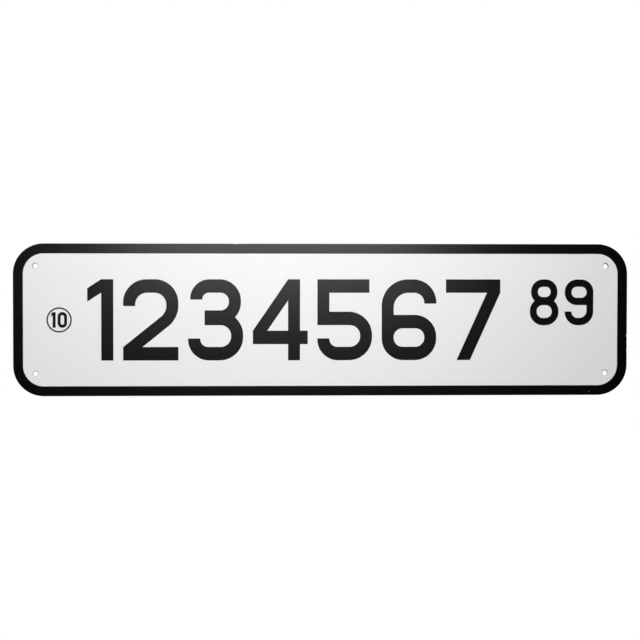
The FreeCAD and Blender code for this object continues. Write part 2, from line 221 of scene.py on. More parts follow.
class PrintSettings(bpy.types.PropertyGroup):
    """Sizes of everything that is printed"""

    shoulder: length_setting("Ink shoulder", "Rounding along the edge of the ink", 0.00004)
    rim_ring: length_setting("Rim ring", "Ring of faces beside the edge of a digit", 0.0002)
    border_width: length_setting("Border width", "Border, from the edge of the blade", 0.0098)
    legend_digits: StringProperty(name="Large digits", description="The large digits, in order",
                                  default="1234567")
    legend_bar: length_setting("Large bar", "Level strokes of the large digits", 0.0133)
    legend_stem: length_setting("Large stem", "Upright strokes of the large digits", 0.0119)
    legend_gap: length_setting("Large gap", "Gap between the large digits", 0.0096)
    suffix_digits: StringProperty(name="Small digits", description="The raised small digits",
                                  default="89")
    suffix_space: length_setting("Word space", "Last large digit to the first small one", 0.0298)
    suffix_height: length_setting("Small height", "Height of the small digits", 0.0457)
    suffix_width: length_setting("Small width", "Width of a small digit", 0.0287)
    suffix_bar: length_setting("Small bar", "Level strokes of the small digits", 0.0073)
    suffix_stem: length_setting("Small stem", "Upright strokes of the small digits", 0.0068)
    suffix_gap: length_setting("Small gap", "Gap between the small digits", 0.0063)
    emblem_digits: StringProperty(name="Emblem digits", description="What stands in the emblem",
                                  default="10")
    emblem_line: length_setting("Emblem line", "Width of the emblem's ring", 0.0014)
    emblem_height: length_setting("Emblem height", "Height of the emblem's digits", 0.0154)
    emblem_width: length_setting("Emblem width", "Width of a round digit there", 0.0092)
    emblem_stroke: length_setting("Emblem stroke", "Every stroke in the emblem", 0.0029)
    emblem_gap: length_setting("Emblem gap", "Gap between the emblem's digits", 0.0020)


class FinishSettings(bpy.types.PropertyGroup):
    """Colours and gloss"""

    enamel: colour_setting("Enamel", "White of the front", (0.86, 0.86, 0.86))
    enamel_roughness: share_setting("Enamel roughness", "Roughness of the white front", 0.70)
    border_ink: colour_setting("Border print", "Black of the border", (0.0006, 0.0006, 0.0007))
    digit_ink: colour_setting("Digit print", "Thinner black of the digits and the ring",
                              (0.0021, 0.0021, 0.0022))
    ink_roughness: share_setting("Print roughness", "Roughness of the black print", 0.28)
    yellowed: colour_setting("Yellowed enamel", "Tint of the enamel low on the left",
                             (0.874, 0.86, 0.842))
    # Painted shade: the dark colour laid on one side of the rim of each hole
    grime: colour_setting("Grime", "Dirt on the rims of the holes", (0.05, 0.048, 0.045))
    metal: colour_setting("Bare metal", "Aluminium of the back and the edges", (0.60, 0.605, 0.61))
    metal_roughness: share_setting("Metal roughness", "Roughness of the rolled back", 0.36)


class StageSettings(bpy.types.PropertyGroup):
    """Floor, lamps and camera"""

    floor_drop: length_setting("Floor drop", "Middle of the sign to the floor", 1.2)
    floor_size: length_setting("Floor size", "Side of the square floor", 9.0)
    camera_distance: length_setting("Camera distance", "Camera to the sign", 2.0)
    frame_width: length_setting("Frame width", "What the picture takes in at the sign", 0.6354)
    ambient: FloatProperty(name="Ambient", description="Light from all sides", default=0.71,
                           min=0.0)


def select_only(piece, kind, wanted):
    """Select the vertices, edges or faces of the open mesh that pass a test, and nothing else."""
    bpy.ops.mesh.select_mode(type={"verts": "VERT", "edges": "EDGE", "faces": "FACE"}[kind])
    bpy.ops.mesh.select_all(action="DESELECT")
    shape = bmesh.from_edit_mesh(piece.data)
    shape.normal_update()
    found = [item for item in getattr(shape, kind) if wanted(item)]
    if not found:
        raise RuntimeError("%s has none of the %s that were looked for" % (piece.name, kind))
    for item in found:
        item.select_set(True)
    shape.select_flush_mode()
    bmesh.update_edit_mesh(piece.data)


def select_pieces(*pieces):
    """Select whole pieces and nothing else. The first one becomes active."""
    bpy.ops.object.select_all(action="DESELECT")
    for piece in pieces:
        piece.select_set(True)
    bpy.context.view_layer.objects.active = pieces[0]


def open_piece(name):
    """A new mesh at the origin, open in edit mode with nothing in it."""
    bpy.ops.object.select_all(action="DESELECT")
    bpy.ops.object.add(type="MESH", location=(0, 0, 0))
    piece = bpy.context.object
    piece.name = name
    piece.data.name = name
    bpy.ops.object.mode_set(mode="EDIT")
    return piece


def arc_cut(before, corner, after):
    """How far a rounded corner of radius 1 reaches along its two sides, and how far it turns."""
    arrive = (corner - before).normalized()
    leave = (after - corner).normalized()
    turn = arrive.angle(leave)
    return math.tan(turn / 2), turn


def trace(piece, corners, depth):
    """Draw a closed outline of (across, up) or (across, up, radius) corners at a depth.

    A ring with one vertex for each corner is pulled to the corners, which are then rounded."""
    points = [Vector((corner[0], depth, corner[1])) for corner in corners]
    bpy.ops.mesh.select_mode(type="VERT")
    bpy.ops.mesh.select_all(action="DESELECT")
    size = max((point - points[0]).length for point in points)
    bpy.ops.mesh.primitive_circle_add(vertices=len(points), radius=START_RING_SHARE * size,
                                      location=points[0], rotation=(math.pi / 2, 0, 0),
                                      fill_type="NOTHING")
    shape = bmesh.from_edit_mesh(piece.data)
    ring = [vertex.index for vertex in shape.verts if vertex.select]
    for index, point in zip(ring, points):
        select_only(piece, "verts", lambda vertex: vertex.index == index)
        shape = bmesh.from_edit_mesh(piece.data)
        shape.verts.ensure_lookup_table()
        bpy.ops.transform.translate(value=point - shape.verts[index].co)
    for number, corner in enumerate(corners):
        if len(corner) == 2:
            continue
        point = points[number]
        reach, turn = arc_cut(points[number - 1], point, points[(number + 1) % len(points)])
        select_only(piece, "verts", lambda vertex: (vertex.co - point).length < CLOSE)
        steps = max(FEWEST_STEPS, round(ARC_STEPS * turn / (math.pi / 2)))
        bpy.ops.mesh.bevel(offset=corner[2] * reach, offset_type="OFFSET", segments=steps,
                           profile=ROUND, affect="VERTICES", clamp_overlap=False)


def trace_circle(across, up, radius, depth, steps):
    """Draw a circle in the open mesh at a depth."""
    bpy.ops.mesh.select_all(action="DESELECT")
    bpy.ops.mesh.primitive_circle_add(vertices=steps, radius=radius, location=(across, depth, up),
                                      rotation=(math.pi / 2, 0, 0), fill_type="NOTHING")


def thicken(back, front):
    """Close the outlines in the open mesh, all at the back, into a plate with a thickness."""
    bpy.ops.mesh.select_mode(type="VERT")
    bpy.ops.mesh.select_all(action="SELECT")
    bpy.ops.mesh.fill(use_beauty=True)
    bpy.ops.mesh.extrude_region_move(TRANSFORM_OT_translate={"value": (0, front - back, 0)})
    bpy.ops.mesh.select_all(action="SELECT")
    bpy.ops.mesh.normals_make_consistent(inside=False)


def ring_level(piece, level, width):
    """Lay a narrow ring of faces inside every rim of the flat face at a level."""
    select_only(piece, "faces", lambda face: abs(face.normal.y) > FLAT
                and abs(face.calc_center_median().y - level) < CLOSE)
    bpy.ops.mesh.inset(thickness=width, depth=0, use_boundary=True, use_even_offset=True)


def round_rims(piece, level, radius, steps, chosen=None):
    """Round the rims of the flat face at a level, or those of them that pass a test."""

    def is_rim(edge):
        if any(abs(vertex.co.y - level) > CLOSE for vertex in edge.verts):
            return False
        if all(abs(face.normal.y) > LEVEL for face in edge.link_faces):
            return False
        return chosen is None or chosen(edge)

    select_only(piece, "edges", is_rim)
    bpy.ops.mesh.bevel(offset=radius, offset_type="OFFSET", segments=steps, profile=ROUND,
                       affect="EDGES", clamp_overlap=False, loop_slide=True)


def apply_modifier(piece, kind, **settings):
    """Add a modifier, set it and apply it."""
    bpy.context.view_layer.objects.active = piece
    modifier = piece.modifiers.new(kind.lower(), kind)
    for name, value in settings.items():
        setattr(modifier, name, value)
    bpy.ops.object.modifier_apply(modifier=modifier.name)


def close_piece(piece, node):
    """Leave edit mode, smooth what is round and put the piece on its frame."""
    if bpy.context.mode != "OBJECT":
        bpy.ops.object.mode_set(mode="OBJECT")
    select_pieces(piece)
    bpy.ops.object.shade_smooth_by_angle(angle=SMOOTH_ANGLE)
    apply_modifier(piece, "WEIGHTED_NORMAL", mode="FACE_AREA", weight=100, keep_sharp=True)
    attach(piece, "root")
    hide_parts(node)


def rectangle(left, bottom, right, top, radius):
    """The corners of a rectangle with one radius all round."""
    corners = ((left, bottom), (right, bottom), (right, top), (left, top))
    return [(across, up, radius) for across, up in corners]


def blade_outline(inset, radius):
    return rectangle(SHEET_LOW.x + inset, SHEET_LOW.z + inset, SHEET_HIGH.x - inset,
                     SHEET_HIGH.z - inset, radius - inset)


def hole_centres(sheet):
    reach_across = SHEET_HIGH.x - sheet.hole_inset
    reach_up = SHEET_HIGH.z - sheet.hole_inset
    return [(across, up) for across in (-reach_across, reach_across)
            for up in (-reach_up, reach_up)]


def near_hole(vertex, sheet):
    reach = HOLE_REACH * sheet.hole_diameter
    return any(math.hypot(vertex.co.x - across, vertex.co.z - up) < reach
               for across, up in hole_centres(sheet))


def nick_edge(piece, nicks, axis, edge, band):
    """Press small dents into a straight edge of the blade: axis 0 runs along X, axis 2 along Z."""
    other = 2 - axis
    steps = []
    for middle, half_width, depth in nicks:
        for share in NICK_CUTS:
            lean = NICK_NEAR_DEPTH if share < 0 else NICK_FAR_DEPTH
            steps.append((middle + share * half_width, depth * (1 - share * share) * lean))
    normal = [0, 0, 0]
    normal[axis] = 1
    bpy.ops.mesh.select_mode(type="VERT")
    for place, _ in steps:
        cut = [0, 0, 0]
        cut[axis] = place
        bpy.ops.mesh.select_all(action="SELECT")
        bpy.ops.mesh.bisect(plane_co=cut, plane_no=normal)
    for place, depth in steps:
        select_only(piece, "verts", lambda vertex: abs(vertex.co[axis] - place) < CLOSE
                    and vertex.co[other] > edge - band)
        push = [0, 0, 0]
        push[other] = -depth
        bpy.ops.transform.translate(value=push)


def assign_finish(piece, names_and_tests):
    """Give the faces of the open mesh their finishes: the first name is for all the rest."""
    for number, (name, wanted) in enumerate(names_and_tests):
        piece.data.materials.append(bpy.data.materials[name])
        if wanted is None:
            continue
        select_only(piece, "faces", wanted)
        piece.active_material_index = number
        bpy.ops.object.material_slot_assign()


class STREETSIGN_OT_sheet(bpy.types.Operator):
    """Model the sheet: its rounded outline, four punched holes, rolled rims and small dents"""

    bl_idname = "street_sign.sheet"
    bl_label = "Model the sheet"

    def execute(self, context):
        sheet = context.scene.sign_sheet
        piece = open_piece("sheet")
        trace(piece, blade_outline(0, sheet.corner_radius), BACK)
        for across, up in hole_centres(sheet):
            trace_circle(across, up, sheet.hole_diameter / 2, BACK, HOLE_STEPS)
        thicken(BACK, FRONT)
        for level in (BACK, FRONT):
            ring_level(piece, level, sheet.rim_ring)
        round_rims(piece, BACK, sheet.back_break, BACK_BREAK_STEPS)
        round_rims(piece, FRONT, sheet.hole_roll, HOLE_ROLL_STEPS,
                   lambda edge: near_hole(edge.verts[0], sheet))
        round_rims(piece, FRONT, sheet.edge_roll, EDGE_ROLL_STEPS,
                   lambda edge: not near_hole(edge.verts[0], sheet))
        band = SHEET_NICK_BAND * sheet.edge_roll
        nick_edge(piece, TOP_EDGE_NICKS, 0, SHEET_HIGH.z, band)
        nick_edge(piece, RIGHT_EDGE_NICKS, 2, SHEET_HIGH.x, band)
        roll_end = FRONT + sheet.edge_roll + CLOSE

        def is_outer_roll(face):
            return (face.calc_center_median().y < roll_end and abs(face.normal.y) < ROLLED
                    and not near_hole(face.verts[0], sheet))

        def is_sheared(face):
            return (face.calc_center_median().y > roll_end and abs(face.normal.y) < WALL
                    and not near_hole(face.verts[0], sheet))

        def is_punched(face):
            return abs(face.normal.y) < PUNCHED and near_hole(face.verts[0], sheet)

        assign_finish(piece, [
            ("enamel_finish", None),
            ("border_finish", is_outer_roll),
            ("sheared_finish", is_sheared),
            ("punched_finish", is_punched),
            ("rolled_finish", lambda face: face.normal.y > WALL),
        ])
        close_piece(piece, "sign_blank")
        return {"FINISHED"}


def cut_chip(piece, across, up, half_width, half_height, turn):
    """Knock a small flake out of the ink."""
    bpy.ops.object.select_all(action="DESELECT")
    bpy.ops.mesh.primitive_cylinder_add(vertices=CHIP_SIDES, radius=1,
                                        depth=CUTTER_LENGTH * (FRONT - PRINT_FRONT),
                                        location=(across, (FRONT + PRINT_FRONT) / 2, up),
                                        rotation=(math.pi / 2, turn, 0),
                                        scale=(half_width, half_height, 1))
    cutter = bpy.context.object
    apply_modifier(piece, "BOOLEAN", operation="DIFFERENCE", solver="EXACT", object=cutter)
    bpy.data.objects.remove(cutter)


class STREETSIGN_OT_border(bpy.types.Operator):
    """Model the black border, with its small chips"""

    bl_idname = "street_sign.border"
    bl_label = "Model the border"

    def execute(self, context):
        sheet = context.scene.sign_sheet
        ink = context.scene.sign_print
        piece = open_piece("border")
        trace(piece, blade_outline(sheet.edge_roll, sheet.corner_radius), FRONT)
        trace(piece, blade_outline(ink.border_width, sheet.corner_radius), FRONT)
        thicken(FRONT, PRINT_FRONT)
        ring_level(piece, PRINT_FRONT, sheet.rim_ring)
        round_rims(piece, PRINT_FRONT, ink.shoulder, SHOULDER_STEPS)
        band = BORDER_NICK_BAND * sheet.edge_roll
        nick_edge(piece, TOP_EDGE_NICKS, 0, SHEET_HIGH.z, band)
        nick_edge(piece, RIGHT_EDGE_NICKS, 2, SHEET_HIGH.x, band)
        bpy.ops.object.mode_set(mode="OBJECT")
        for across, up, half_width, half_height, turn in BORDER_CHIPS:
            cut_chip(piece, across, up, half_width, half_height, turn)
        piece.data.materials.append(bpy.data.materials["border_finish"])
        close_piece(piece, "border_print")
        return {"FINISHED"}


def bowl_radius(width, height):
    return BOWL_ROUND_SHARE * min(width, height)


def hook_radius(radius, room):
    """The radius of a bowl, or as much of it as a hook has room for."""
    return min(radius, HOOK_ROUND_SHARE * room)


def bowl(left, bottom, right, top):
    """The corners of a rectangle as round as a bowl."""
    return rectangle(left, bottom, right, top, bowl_radius(right - left, top - bottom))


def closed_bowl(left, bottom, right, top, bar, stem):
    """The outline of a closed bowl and the outline of its counter."""
    counter = bowl(left + stem, bottom + bar, right - stem, top - bar)
    return [bowl(left, bottom, right, top), counter]


# Each digit is drawn from its lower left corner, and gives one list of outlines for each layer


def draw_zero(width, height, bar, stem):
    return [closed_bowl(0, 0, width, height, bar, stem)]


def draw_one(width, height, bar, stem):
    left = width - stem
    drop = FLAG_DROP_SHARE * height
    return [[[(left, 0), (width, 0), (width, height), (left, height), (0, height - drop),
              (0, height - drop - bar), (left, height - bar)]]]


def draw_two(width, height, bar, stem):
    hook = height - TWO_HOOK_SHARE * height
    foot = TWO_SLANT_FACTOR * stem
    elbow = TWO_ELBOW_SHARE * height
    slope = (elbow - bar) / (width - foot)
    inner_elbow = bar + slope * (width - stem)
    side = height - elbow
    inner_side = height - bar - inner_elbow
    outer = min(bowl_radius(width, height), TWO_ROUND_UPPER_SHARE * side)
    inner = min(bowl_radius(width - 2 * stem, height), TWO_ROUND_UPPER_SHARE * inner_side)
    return [[[(0, hook), (stem, hook), (stem, height - bar, inner),
              (width - stem, height - bar, inner),
              (width - stem, inner_elbow, TWO_ROUND_ELBOW_SHARE * inner_side), (0, bar), (0, 0),
              (width, 0), (width, bar), (foot, bar), (width, elbow, TWO_ROUND_ELBOW_SHARE * side),
              (width, height, outer), (0, height, outer)]]]


def draw_three(width, height, bar, stem):
    middle = MIDDLE_BAR_START_SHARE * width
    lower_top = LOWER_BOWL_SHARE * height
    hook = LOWER_HOOK_SHARE * height
    outer = bowl_radius(width, lower_top)
    inner = bowl_radius(width - 2 * stem, lower_top - 2 * bar)
    lower = [(0, hook), (0, 0, hook_radius(outer, hook)), (width, 0, outer),
             (width, lower_top, outer), (middle, lower_top), (middle, lower_top - bar),
             (width - stem, lower_top - bar, inner), (width - stem, bar, inner),
             (stem, bar, hook_radius(inner, hook - bar)), (stem, hook)]
    upper_foot = lower_top - BOWL_OVERLAP_SHARE * bar
    left = UPPER_INSET_SHARE * width
    right = width - left
    drop = UPPER_HOOK_SHARE * height
    hook = height - drop
    outer = bowl_radius(right - left, height - upper_foot)
    inner = bowl_radius(right - left - 2 * stem, height - upper_foot - 2 * bar)
    upper = [(left, hook), (left + stem, hook),
             (left + stem, height - bar, hook_radius(inner, drop - bar)),
             (right - stem, height - bar, inner), (right - stem, upper_foot + bar, inner),
             (middle, upper_foot + bar), (middle, upper_foot), (right, upper_foot, outer),
             (right, height, outer), (left, height, hook_radius(outer, drop))]
    return [[lower], [upper]]


def draw_four(width, height, bar, stem):
    left = width - stem - FOUR_TAIL_SHARE * width
    right = left + stem
    bottom = FOUR_BAR_SHARE * height
    top = bottom + bar
    slant = FOUR_SLANT_FACTOR * stem
    slope = (height - top) / left
    outer = [(left, 0), (right, 0), (right, bottom), (width, bottom), (width, top), (right, top),
             (right, height), (left, height), (0, top), (0, bottom), (left, bottom)]
    counter = [(slant, top), (left, top), (left, top + slope * (left - slant))]
    return [[outer, counter]]


def draw_five(width, height, bar, stem):
    top = LOWER_BOWL_SHARE * height
    hook = LOWER_HOOK_SHARE * height
    tip = width - FIVE_SHORT_SHARE * width
    outer = bowl_radius(width, top)
    inner = bowl_radius(width - 2 * stem, top - 2 * bar)
    return [[[(0, top - bar), (width - stem, top - bar, inner), (width - stem, bar, inner),
              (stem, bar, hook_radius(inner, hook - bar)), (stem, hook), (0, hook),
              (0, 0, hook_radius(outer, hook)), (width, 0, outer), (width, top, outer),
              (stem, top), (stem, height - bar), (tip, height - bar), (tip, height),
              (0, height)]]]


def draw_six(width, height, bar, stem):
    top = SIX_BOWL_SHARE * height
    drop = SIX_HOOK_SHARE * height
    hook = height - drop
    lower = bowl_radius(width, top)
    upper = bowl_radius(width, height)
    inner = hook_radius(bowl_radius(width - 2 * stem, height), height - bar - top)
    outer = [(0, 0, lower), (width, 0, lower), (width, top, lower), (stem, top),
             (stem, height - bar, inner),
             (width - stem, height - bar, hook_radius(inner, drop - bar)), (width - stem, hook),
             (width, hook), (width, height, hook_radius(upper, drop)), (0, height, upper)]
    return [[outer, bowl(stem, bar, width - stem, top - bar)]]


def draw_seven(width, height, bar, stem):
    foot = SEVEN_FOOT_SHARE * width
    heel = foot + SEVEN_SLANT_FACTOR * stem
    lean = width - heel
    return [[[(foot, 0), (heel, 0), (width, height - bar), (width, height), (0, height),
              (0, height - bar), (foot + lean, height - bar)]]]


def draw_eight(width, height, bar, stem):
    lower_top = LOWER_BOWL_SHARE * height
    upper_foot = lower_top - BOWL_OVERLAP_SHARE * bar
    left = UPPER_INSET_SHARE * width
    return [closed_bowl(0, 0, width, lower_top, bar, stem),
            closed_bowl(left, upper_foot, width - left, height, bar, stem)]


def draw_nine(width, height, bar, stem):
    """A 6 turned half a turn."""
    return [[[(width - across, height - up, *radius) for across, up, *radius in corners]
             for corners in loops] for loops in draw_six(width, height, bar, stem)]


DRAW_DIGIT = {"0": draw_zero, "1": draw_one, "2": draw_two, "3": draw_three, "4": draw_four,
              "5": draw_five, "6": draw_six, "7": draw_seven, "8": draw_eight, "9": draw_nine}


def digit_width(digit, width):
    """Every digit has the same width, apart from the narrow 1."""
    return ONE_WIDTH_SHARE * width if digit == "1" else width


def row_length(digits, width, gap):
    """How long a row of digits is, with its gaps."""
    return sum(digit_width(digit, width) for digit in digits) + (len(digits) - 1) * gap


def model_digit(digit, left, bottom, width, height, bar, stem, ink):
    """One digit as a plate of ink with soft rims."""
    layers = []
    for loops in DRAW_DIGIT[digit](width, height, bar, stem):
        piece = open_piece("digit_" + digit)
        for corners in loops:
            placed = [(left + across, bottom + up, *radius) for across, up, *radius in corners]
            trace(piece, placed, FRONT)
        thicken(FRONT, PRINT_FRONT)
        bpy.ops.object.mode_set(mode="OBJECT")
        layers.append(piece)
    whole = layers[0]
    for layer in layers[1:]:
        bpy.ops.object.select_all(action="DESELECT")
        apply_modifier(whole, "BOOLEAN", operation="UNION", solver="EXACT", object=layer)
        bpy.data.objects.remove(layer)
    select_pieces(whole)
    bpy.ops.object.mode_set(mode="EDIT")
    bpy.ops.mesh.select_all(action="SELECT")
    bpy.ops.mesh.remove_doubles(threshold=CLOSE)
    bpy.ops.mesh.normals_make_consistent(inside=False)
    ring_level(whole, PRINT_FRONT, ink.rim_ring)
    round_rims(whole, PRINT_FRONT, ink.shoulder, SHOULDER_STEPS)
    bpy.ops.object.mode_set(mode="OBJECT")
    return whole


def model_row(digits, left, bottom, width, height, bar, stem, gap, ink):
    """A row of digits from its left end."""
    pieces = []
    for digit in digits:
        this_width = digit_width(digit, width)
        pieces.append(model_digit(digit, left, bottom, this_width, height, bar, stem, ink))
        left += this_width + gap
    return pieces


def join_pieces(name, pieces):
    """Join what is printed in the thinner black into one piece."""
    select_pieces(*pieces)
    bpy.ops.object.join()
    whole = pieces[0]
    whole.name = name
    whole.data.name = name
    whole.data.materials.clear()
    whole.data.materials.append(bpy.data.materials["digit_finish"])
    return whole


class STREETSIGN_OT_legend(bpy.types.Operator):
    """Model the large digits and the small raised ones"""

    bl_idname = "street_sign.legend"
    bl_label = "Model the legend"

    def execute(self, context):
        ink = context.scene.sign_print
        height = LEGEND_HIGH.z - LEGEND_LOW.z
        suffix_length = row_length(ink.suffix_digits, ink.suffix_width, ink.suffix_gap)
        suffix_left = LEGEND_HIGH.x - suffix_length
        gaps = row_length(ink.legend_digits, 0, ink.legend_gap)
        room = suffix_left - ink.suffix_space - LEGEND_LOW.x - gaps
        width = room / row_length(ink.legend_digits, 1, 0)
        pieces = model_row(ink.legend_digits, LEGEND_LOW.x, LEGEND_LOW.z, width, height,
                           ink.legend_bar, ink.legend_stem, ink.legend_gap, ink)
        pieces += model_row(ink.suffix_digits, suffix_left, LEGEND_HIGH.z - ink.suffix_height,
                            ink.suffix_width, ink.suffix_height, ink.suffix_bar, ink.suffix_stem,
                            ink.suffix_gap, ink)
        close_piece(join_pieces("legend", pieces), "legend_print")
        return {"FINISHED"}


class STREETSIGN_OT_emblem(bpy.types.Operator):
    """Model the small ring and the plain digits in it"""

    bl_idname = "street_sign.emblem"
    bl_label = "Model the emblem"

    def execute(self, context):
        ink = context.scene.sign_print
        across = (EMBLEM_LOW.x + EMBLEM_HIGH.x) / 2
        up = (EMBLEM_LOW.z + EMBLEM_HIGH.z) / 2
        radius = (EMBLEM_HIGH.x - EMBLEM_LOW.x) / 2
        ring = open_piece("emblem_ring")
        for reach in (radius, radius - ink.emblem_line):
            trace_circle(across, up, reach, FRONT, 4 * ARC_STEPS)
        thicken(FRONT, PRINT_FRONT)
        ring_level(ring, PRINT_FRONT, ink.rim_ring)
        round_rims(ring, PRINT_FRONT, ink.shoulder, SHOULDER_STEPS)
        bpy.ops.object.mode_set(mode="OBJECT")
        length = row_length(ink.emblem_digits, ink.emblem_width, ink.emblem_gap)
        digits = model_row(ink.emblem_digits, across - length / 2, up - ink.emblem_height / 2,
                           ink.emblem_width, ink.emblem_height, ink.emblem_stroke,
                           ink.emblem_stroke, ink.emblem_gap, ink)
        close_piece(join_pieces("emblem", [ring] + digits), "emblem_print")
        return {"FINISHED"}


class Signal:
    """An output of a shader node. Sums written with it add Math nodes."""

    def __init__(self, shader, socket):
        self.shader = shader
        self.socket = socket

    def __add__(self, other):
        return self.shader.calculate("ADD", self, other)

    def __radd__(self, other):
        return self.shader.calculate("ADD", other, self)

    def __sub__(self, other):
        return self.shader.calculate("SUBTRACT", self, other)

    def __rsub__(self, other):
        return self.shader.calculate("SUBTRACT", other, self)

    def __mul__(self, other):
        return self.shader.calculate("MULTIPLY", self, other)

    def __rmul__(self, other):
        return self.shader.calculate("MULTIPLY", other, self)

    def __truediv__(self, other):
        return self.shader.calculate("DIVIDE", self, other)

    def __rtruediv__(self, other):
        return self.shader.calculate("DIVIDE", other, self)

    def output(self, name):
        """Another output of the same node."""
        return Signal(self.shader, self.socket.node.outputs[name])


class Shader:
    """The node tree of a material or a world."""

    def __init__(self, owner):
        owner.use_nodes = True
        self.owner = owner
        self.tree = owner.node_tree
        self.tree.nodes.clear()

    def add(self, kind, settings=None, sockets=None, output=0):
        """Add any node: its settings first, then the values or links of its sockets."""
        node = self.tree.nodes.new(kind)
        for name, value in (settings or {}).items():
            setattr(node, name, value)
        for name, value in (sockets or {}).items():
            if isinstance(value, Signal):
                self.tree.links.new(value.socket, node.inputs[name])
            else:
                node.inputs[name].default_value = value
        if not node.outputs:
            return node
        return Signal(self, node.outputs[output])

    def calculate(self, operation, first, second):
        """Add a Math node."""
        return self.add("ShaderNodeMath", {"operation": operation}, {0: first, 1: second})

    def mix(self, factor, first, second):
        """Blend two colours."""
        return self.add("ShaderNodeMix", {"data_type": "RGBA"}, {0: factor, 6: first, 7: second}, 2)

    def tones(self, factor, colour, first, second):
        """Blend two strengths of one colour."""
        return self.mix(factor, opaque(colour, first), opaque(colour, second))

    def place(self):
        return self.add("ShaderNodeTexCoord", output="Object")

    def split(self, vector, axis):
        """One coordinate of a vector."""
        return self.add("ShaderNodeSeparateXYZ", None, {"Vector": vector}, axis)

    def length(self, across, up):
        """How far two coordinates lie from the origin."""
        return self.calculate("SQRT", across * across + up * up, 0)

    def stretch(self, place, scale, turn=(0, 0, 0)):
        """Object coordinates multiplied along each axis, and then turned."""
        return self.add("ShaderNodeMapping", {"vector_type": "POINT"},
                        {"Vector": place, "Rotation": turn, "Scale": scale})

    def noise(self, place, scale, detail=2, roughness=0.5):
        return self.add("ShaderNodeTexNoise", {"noise_dimensions": "3D"},
                        {"Vector": place, "Scale": scale, "Detail": detail,
                         "Roughness": roughness})

    def ramp(self, value, low, high):
        """0 below low, 1 above high and smooth between."""
        return self.add("ShaderNodeMapRange", {"interpolation_type": "SMOOTHSTEP"},
                        {"Value": value, "From Min": low, "From Max": high, "To Min": 0.0,
                         "To Max": 1.0})

    def bump(self, height, depth):
        """Raise the surface by up to a depth."""
        return self.add("ShaderNodeBump", None,
                        {"Strength": 1.0, "Distance": depth, "Height": height})

    def surface(self, **sockets):
        """Finish a material with one Principled shader."""
        named = {name.replace("_", " "): value for name, value in sockets.items()}
        shader = self.add("ShaderNodeBsdfPrincipled", None, named)
        self.add("ShaderNodeOutputMaterial", None, {"Surface": shader})
        return self.owner


def new_finish(name):
    """An empty material of this very name."""
    material = bpy.data.materials.new(name)
    if material.name != name:
        raise RuntimeError("%s is taken" % name)
    return Shader(material)


def opaque(colour, factor=1.0):
    return (*[channel * factor for channel in colour], 1.0)


def spread_hole_shade(shader, place, sheet):
    """How much painted shade lies at a place: it falls on one side of the rim of each hole."""
    across = shader.split(place, "X")
    up = across.output("Z")
    bore = sheet.hole_diameter / 2
    grime = 0
    for (middle, level), (side, strength) in zip(hole_centres(sheet), HOLE_SHADE):
        right = across - middle
        above = up - level
        reach = shader.length(right, above)
        turn = math.radians(side)
        lean = 0.5 + 0.5 * (right * math.cos(turn) + above * math.sin(turn)) / reach
        near = 1 - shader.ramp(reach, bore + HOLE_SHADE_FADES * sheet.hole_roll,
                               bore + HOLE_SHADE_ENDS * sheet.hole_roll)
        grime = grime + strength * near * lean * lean
    return grime


def mix_enamel(finish, sheet):
    """White enamel: satin, with a sprayed skin, faint clouds, a yellowed place and painted shade on
    one side of the rim of each hole.
    """
    shader = new_finish("enamel_finish")
    place = shader.place()
    grime = spread_hole_shade(shader, place, sheet)
    clouds = shader.noise(place, scale=14, detail=3)
    skin = shader.noise(place, scale=420)
    grain = shader.noise(place, scale=3200)
    reach = shader.add("ShaderNodeVectorMath", {"operation": "DISTANCE"},
                       {0: place, 1: YELLOWED_PLACE}, "Value")
    yellowed = 1 - shader.ramp(reach, YELLOWED_CORE_SHARE * YELLOWED_REACH, YELLOWED_REACH)
    fresh = shader.tones(clouds, finish.enamel, 0.992, 1.008)
    clean = shader.mix(yellowed, fresh, opaque(finish.yellowed))
    # Painted shade: the rim of each hole darkens on one side
    colour = shader.mix(grime, clean, opaque(finish.grime))
    uneven = 0.10 * (clouds - 0.5) + 0.04 * (grain - 0.5) + 0.2 * grime
    shader.surface(Base_Color=colour, Roughness=finish.enamel_roughness + uneven,
                   Normal=shader.bump(skin + 0.25 * grain, depth=0.000006))


def mix_print(name, ink, roughness):
    """Black print: glossier than the enamel, laid down flat with a faint skin."""
    shader = new_finish(name)
    place = shader.place()
    clouds = shader.noise(place, scale=22, detail=3)
    skin = shader.noise(place, scale=520)
    shader.surface(Base_Color=shader.tones(clouds, ink, 0.85, 1.15),
                   Roughness=roughness + 0.04 * (clouds - 0.5),
                   Normal=shader.bump(skin, depth=0.000004))


def mix_punched_rim(finish, sheet):
    """The dull inside of a punched hole, where the enamel has cracked away, with painted shade on
    one side of each rim.
    """
    shader = new_finish("punched_finish")
    place = shader.place()
    grime = spread_hole_shade(shader, place, sheet)
    pits = shader.noise(place, scale=5000, detail=3)
    streaks = shader.noise(shader.stretch(place, (7000, 700, 7000)), scale=1)
    dull = shader.tones(0.5 * pits + 0.5 * streaks, finish.metal, 0.45, 0.75)
    # Painted shade: one side of each rim darkens
    colour = shader.mix(grime, dull, opaque(finish.grime))
    shader.surface(Base_Color=colour, Metallic=0.35, Roughness=0.5 + 0.2 * pits,
                   Normal=shader.bump(pits + streaks, depth=0.00001))


